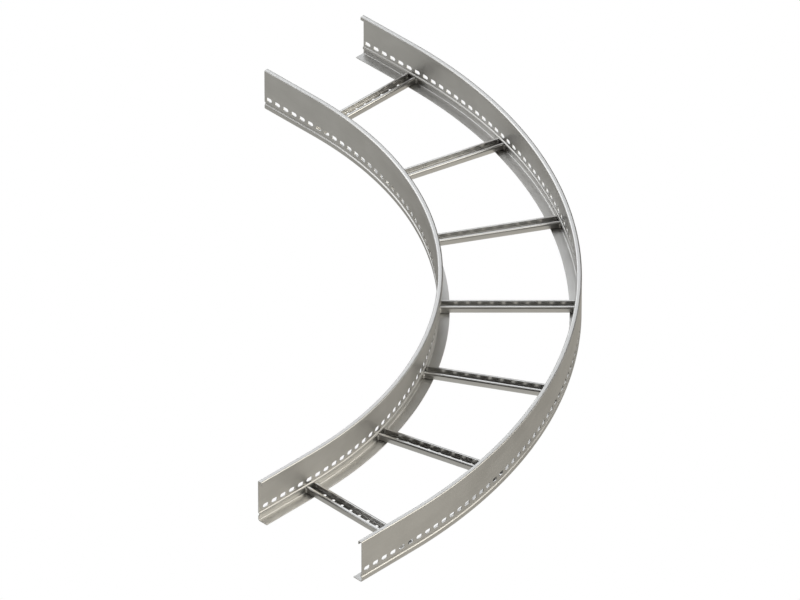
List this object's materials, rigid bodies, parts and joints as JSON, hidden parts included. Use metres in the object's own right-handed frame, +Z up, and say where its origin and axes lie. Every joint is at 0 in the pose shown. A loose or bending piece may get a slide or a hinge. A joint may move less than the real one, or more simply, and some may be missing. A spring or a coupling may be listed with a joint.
{
  "type": "cable ladder bend",
  "caption": "Horizontal cable ladder bend: two folded, slotted side rails on concentric quarter arcs joined by welded channel rungs, turning a flat cable run through a right angle.",
  "frame": {"origin": "middle of the outline in plan, on the floor under the bottom flanges", "axes": "+Z up; one open end faces -Y and the other faces -X, so the bend bulges towards +X and +Y"},
  "size_m": [1.3466, 1.3466, 0.1],
  "materials": {
    "rail_steel": "satin, mill-rolled",
    "rung_steel": "satin, mill-rolled"
  },
  "bodies": {
    "root": {"inner_rail": "rail_steel", "outer_rail": "rail_steel", "rung_1": "rung_steel", "rung_2": "rung_steel", "rung_3": "rung_steel", "rung_4": "rung_steel", "rung_5": "rung_steel", "rung_6": "rung_steel", "rung_7": "rung_steel"}
  },
  "joints": []
}
